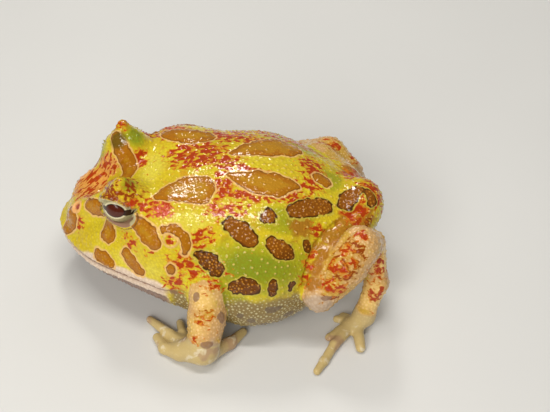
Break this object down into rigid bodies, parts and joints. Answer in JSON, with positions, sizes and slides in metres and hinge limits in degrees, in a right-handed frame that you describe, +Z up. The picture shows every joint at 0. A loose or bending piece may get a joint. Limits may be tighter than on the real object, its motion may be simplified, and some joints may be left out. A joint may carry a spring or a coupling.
{
  "type": "argentine horned frog",
  "caption": "Life-size still model of a young argentine horned frog, sitting on its belly with folded legs, in its named body parts.",
  "frame": {"origin": "middle of the model's box on the floor it sits on", "axes": "+Z up, -Y the way the frog faces, +X its left side"},
  "size_m": [0.0498, 0.053, 0.0231],
  "materials": {
    "skin_head": "wet glossy painted skin, yellow with amber spots",
    "skin_body": "wet glossy painted skin, yellow-green with brown spots and orange mottling",
    "skin_limb": "wet glossy painted skin, cream with orange-brown marbling",
    "skin_pale": "wet glossy painted skin, cream to pale pink-grey",
    "eye": "polished, maroon pupil in a grey-green iris"
  },
  "bodies": {
    "root": {"head": "skin_head", "lower_jaw": "skin_pale", "torso": "skin_body", "rump": "skin_body", "horn_left": "skin_head", "horn_right": "skin_head", "eye_left": "eye", "eye_right": "eye", "upper_arm_left": "skin_limb", "upper_arm_right": "skin_limb", "forearm_left": "skin_limb", "forearm_right": "skin_limb", "hand_left": "skin_pale", "hand_right": "skin_pale", "thigh_left": "skin_limb", "thigh_right": "skin_limb", "shank_left": "skin_limb", "shank_right": "skin_limb", "foot_left": "skin_pale", "foot_right": "skin_pale"}
  },
  "joints": []
}
